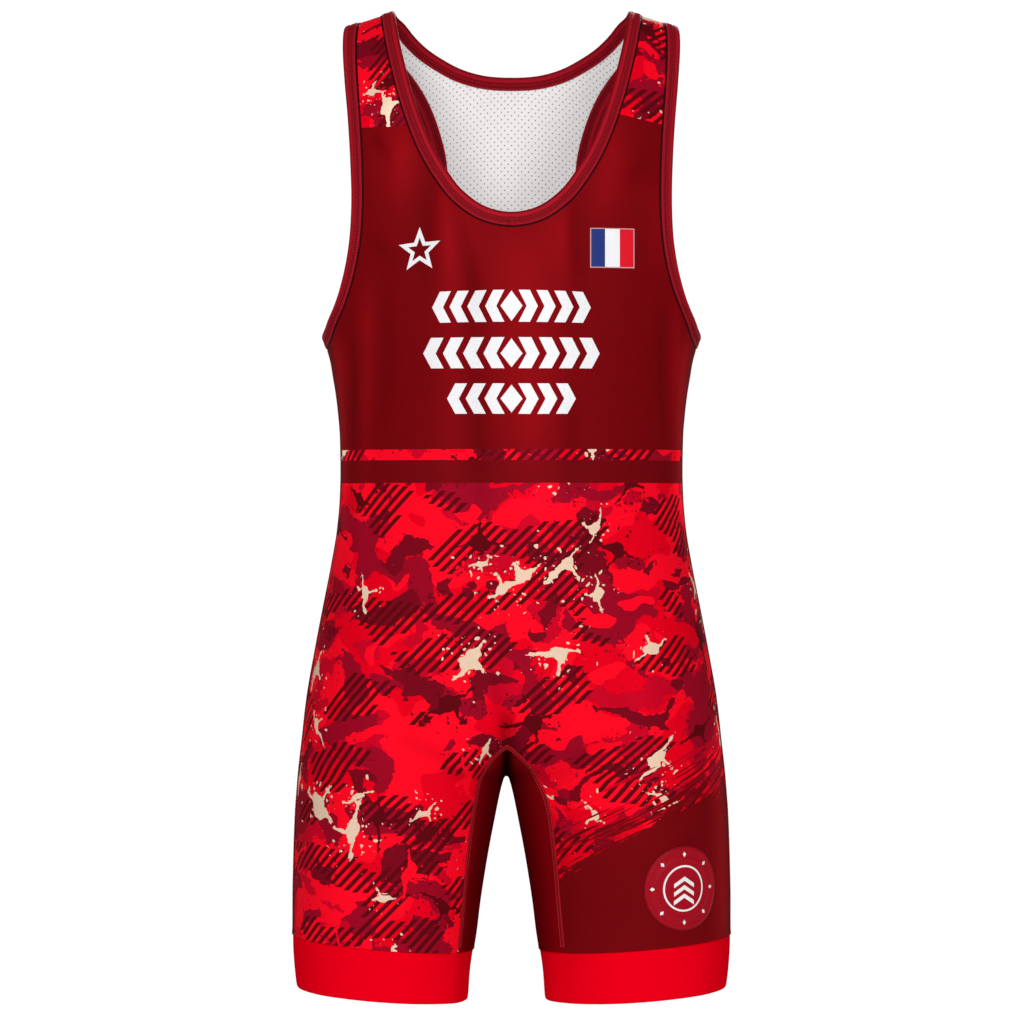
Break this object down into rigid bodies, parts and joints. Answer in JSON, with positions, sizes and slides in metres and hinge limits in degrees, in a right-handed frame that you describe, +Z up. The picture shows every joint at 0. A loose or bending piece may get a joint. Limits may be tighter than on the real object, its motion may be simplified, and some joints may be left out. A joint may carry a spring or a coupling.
{
  "type": "wrestling singlet, in its worn form",
  "caption": "Sleeveless one-piece wrestling suit in its hollow worn form, with a deep round neck, racer-cut back, bound arm edges and knee-length legs ending in plain bands.",
  "frame": {"origin": "midway between the straps, at the height where they rest on the wearer's shoulders and at the middle of the body's depth", "axes": "+Z up along the body, front of the garment faces -Y, +X towards the wearer's left"},
  "size_m": [0.3874, 0.2278, 0.8728],
  "materials": {
    "printed_jersey": "smooth printed stretch jersey, dark red with a red camouflage print",
    "back_jersey": "printed stretch jersey outside, white perforated face inside",
    "binding_tape": "folded dark red stretch binding, twin-stitched",
    "gusset_jersey": "plain dark maroon jersey",
    "band_jersey": "plain bright red elastic jersey",
    "flag_film": "thin blue, white and red pressed patch",
    "badge_film": "soft crimson pressed badge with raised rings"
  },
  "bodies": {
    "root": {"front_panel": "printed_jersey", "back_panel": "back_jersey", "gusset": "gusset_jersey", "neck_binding": "binding_tape", "armhole_binding_left": "binding_tape", "armhole_binding_right": "binding_tape", "leg_band_left": "band_jersey", "leg_band_right": "band_jersey", "flag_patch": "flag_film", "badge_patch": "badge_film"}
  },
  "joints": []
}
